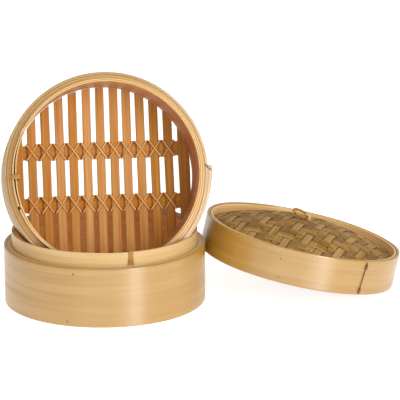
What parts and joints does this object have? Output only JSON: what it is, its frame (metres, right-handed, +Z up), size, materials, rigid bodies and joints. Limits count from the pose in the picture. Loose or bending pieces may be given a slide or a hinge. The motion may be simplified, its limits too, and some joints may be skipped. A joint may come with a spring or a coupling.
{
  "type": "bamboo steamer basket",
  "caption": "Round bamboo steamer: a slat-floored tier stands in the mouth of another tier, with a domed woven lid leaning beside them.",
  "frame": {"origin": "bottom centre of the whole arrangement's bounding box, on the surface it stands on", "axes": "+X towards the leaning lid, +Y away from the viewer who faces the upper tier's mouth, +Z up"},
  "size_m": [0.4002, 0.249, 0.2285],
  "materials": {
    "band_bamboo": "pale planed bamboo with fine grain round the band, satin",
    "hoop_bamboo": "pale bamboo strip, satin",
    "slat_bamboo": "orange-brown split bamboo, satin",
    "batten_bamboo": "brown split bamboo with rounded back",
    "cane": "split cane, slightly glossy",
    "handle_cane": "split cane loop",
    "woven_bamboo": "olive-tan bamboo strips in a two-over two-under weave",
    "dark_cane": "dark brown rattan stitch"
  },
  "bodies": {
    "lower_tier": {"lower_batten_1": "batten_bamboo", "lower_batten_2": "batten_bamboo", "lower_inner_ring": "hoop_bamboo", "lower_lashing_1_left": "cane", "lower_lashing_1_right": "cane", "lower_lashing_2_left": "cane", "lower_lashing_2_right": "cane", "lower_outer_band": "band_bamboo", "lower_rim_stitch": "cane", "lower_slat_01": "slat_bamboo", "lower_slat_02": "slat_bamboo", "lower_slat_03": "slat_bamboo", "lower_slat_04": "slat_bamboo", "lower_slat_05": "slat_bamboo", "lower_slat_06": "slat_bamboo", "lower_slat_07": "slat_bamboo", "lower_slat_08": "slat_bamboo", "lower_slat_09": "slat_bamboo", "lower_slat_10": "slat_bamboo", "lower_slat_11": "slat_bamboo", "lower_slat_12": "slat_bamboo", "lower_slat_13": "slat_bamboo", "lower_spacer_hoop": "hoop_bamboo"},
    "upper_tier": {"upper_batten_1": "batten_bamboo", "upper_batten_2": "batten_bamboo", "upper_inner_ring": "hoop_bamboo", "upper_lashing_1_left": "cane", "upper_lashing_1_right": "cane", "upper_lashing_2_left": "cane", "upper_lashing_2_right": "cane", "upper_outer_band": "band_bamboo", "upper_rim_stitch": "cane", "upper_slat_01": "slat_bamboo", "upper_slat_02": "slat_bamboo", "upper_slat_03": "slat_bamboo", "upper_slat_04": "slat_bamboo", "upper_slat_05": "slat_bamboo", "upper_slat_06": "slat_bamboo", "upper_slat_07": "slat_bamboo", "upper_slat_08": "slat_bamboo", "upper_slat_09": "slat_bamboo", "upper_slat_10": "slat_bamboo", "upper_slat_11": "slat_bamboo", "upper_slat_12": "slat_bamboo", "upper_slat_13": "slat_bamboo", "upper_spacer_hoop": "hoop_bamboo"},
    "lid": {"lid_dome_hoop": "hoop_bamboo", "lid_handle_binding": "handle_cane", "lid_liner_ring": "hoop_bamboo", "lid_outer_band": "band_bamboo", "lid_seam_stitch": "dark_cane", "lid_woven_dome": "woven_bamboo"},
    "lid_handle": {"lid_handle_loop": "handle_cane"}
  },
  "joints": [
    {"name": "upper_tier_swing", "type": "hinge", "parent": "lower_tier", "child": "upper_tier", "pos_m": [-0.10041, -0.00252, 0.14083], "axis": [-0.988, -0.1547, 0], "range_deg": [0, 71.9]},
    {"name": "lid_tip", "type": "hinge", "parent": "lower_tier", "child": "lid", "pos_m": [0.19033, 0.04514, -0.00001], "axis": [-0.2267, 0.974, 0], "range_deg": [0, 77]},
    {"name": "handle_swing", "type": "hinge", "parent": "lid", "child": "lid_handle", "pos_m": [0.10545, 0.02539, 0.06967], "axis": [0.3571, 0.9261, -0.1217], "range_deg": [-7, 153]}
  ]
}
